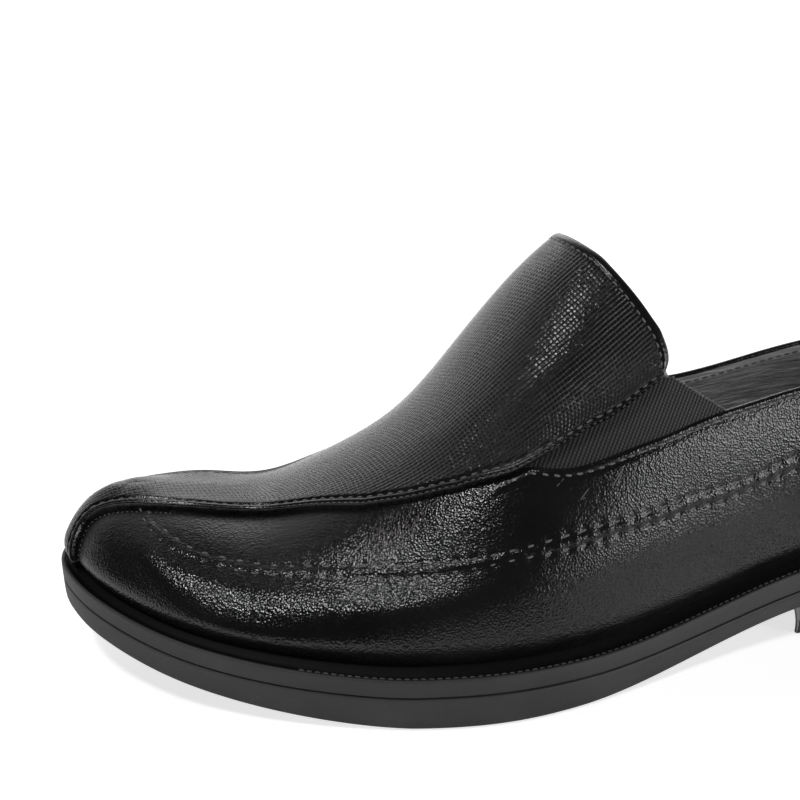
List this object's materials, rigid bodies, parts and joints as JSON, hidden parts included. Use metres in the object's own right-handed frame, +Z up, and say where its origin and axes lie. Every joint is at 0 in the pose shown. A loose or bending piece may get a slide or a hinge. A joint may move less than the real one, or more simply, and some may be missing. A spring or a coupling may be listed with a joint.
{
  "type": "slip-on shoe",
  "caption": "Left men's slip-on leather shoe: hollow upper open at the collar, raised centre panel with a tongue, elastic gores, welted sole and low heel.",
  "frame": {"origin": "middle of the footprint's bounding box, on the floor the shoe stands on", "axes": "+Z up, toe towards -X, outer side of the foot towards -Y, inner side towards +Y"},
  "size_m": [0.3, 0.1104, 0.1175],
  "materials": {
    "smooth_leather": "glossy black, fine grain",
    "embossed_leather": "semi-gloss black, cross-hatched print",
    "gore_elastic": "matt black ribbed elastic",
    "sole_rubber": "satin dark grey",
    "lining_leather": "soft black lining"
  },
  "bodies": {
    "root": {"outsole": "sole_rubber", "heel": "sole_rubber", "welt": "sole_rubber", "insole": "lining_leather", "upper": "smooth_leather", "centre_panel": "embossed_leather", "gore_outer": "gore_elastic", "gore_inner": "gore_elastic"}
  },
  "joints": []
}
